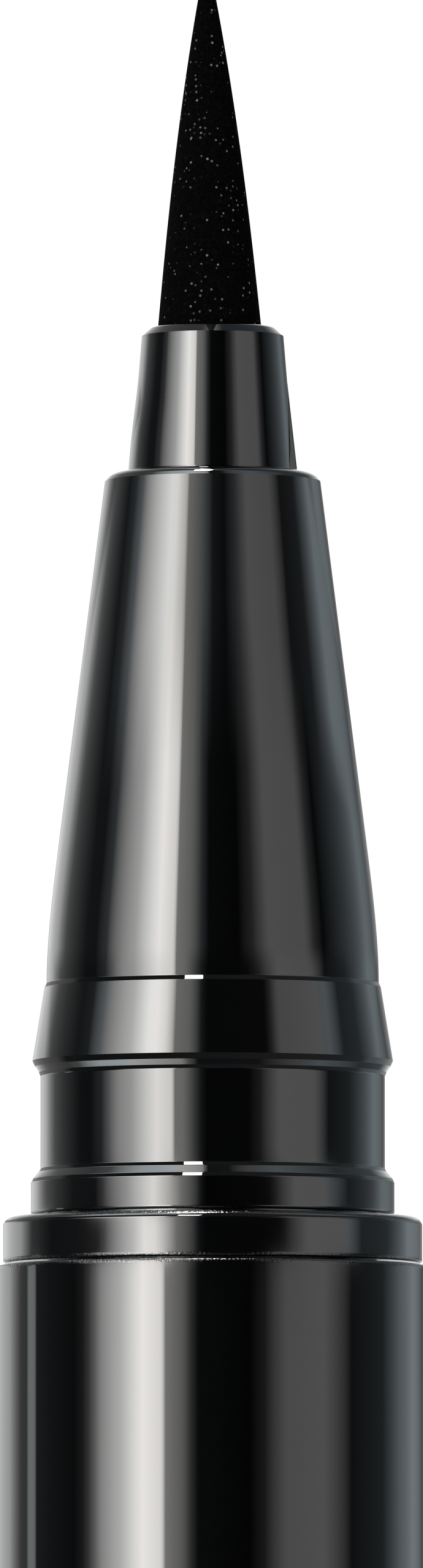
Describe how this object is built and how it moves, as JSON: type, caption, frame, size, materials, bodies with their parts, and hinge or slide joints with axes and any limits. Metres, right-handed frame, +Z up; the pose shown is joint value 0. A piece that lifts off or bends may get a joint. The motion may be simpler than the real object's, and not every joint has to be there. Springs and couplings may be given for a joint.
{
  "type": "eyeliner",
  "caption": "Felt-tip liquid eyeliner standing tip up on its posted cap: gloss barrel, cone nose with snap band, ink tank, comb feed, mixing ball and sprung inner cap.",
  "frame": {"origin": "centre of the cap's flat closed end, on which the eyeliner stands", "axes": "+Z up along the pen's axis towards the felt tip, -Y towards the picture's camera, +X to the right of the picture"},
  "size_m": [0.0106, 0.0106, 0.1547],
  "materials": {
    "gloss_black": "polished black moulded plastic",
    "collar_black": "polished black moulded plastic",
    "black_felt": "pressed fibre soaked in black ink",
    "milky_plastic": "natural moulded polypropylene",
    "collector_plastic": "moulded grey plastic",
    "feed_fibre": "bonded fibre wick",
    "seal_rubber": "smooth black rubber",
    "gasket_rubber": "translucent soft rubber",
    "polished_steel": "polished steel"
  },
  "bodies": {
    "cap": {"cap_shell": "gloss_black", "cap_liner": "milky_plastic", "cap_spring": "polished_steel"},
    "pen": {"outer_sleeve": "gloss_black", "ink_tank": "milky_plastic", "middle_ring": "collar_black", "nose_cone": "gloss_black", "nib_holder": "gloss_black", "felt_tip": "black_felt", "section_seal": "seal_rubber", "feed_core": "feed_fibre", "feed_tube": "milky_plastic", "comb_collector": "collector_plastic", "tank_plug": "milky_plastic", "tail_plug": "milky_plastic", "tail_seal": "seal_rubber", "tail_peg": "gloss_black"},
    "inner_cap": {"inner_cap": "milky_plastic", "inner_cap_gasket": "gasket_rubber"},
    "mixing_ball": {"mixing_ball": "polished_steel"}
  },
  "joints": [
    {"name": "cap_pull", "type": "slide", "parent": "cap", "child": "pen", "axis": [0, 0, 1], "range_m": [0, 0.0125]},
    {"name": "inner_cap_press", "type": "slide", "parent": "cap", "child": "inner_cap", "axis": [0, 0, -1], "range_m": [0, 0.0015], "stiffness_N_per_m": 300, "springref_m": -0.001, "deforming": ["cap_spring"]},
    {"name": "mixing_ball_travel", "type": "slide", "parent": "pen", "child": "mixing_ball", "axis": [0, 0, 1], "range_m": [0, 0.0585]}
  ]
}
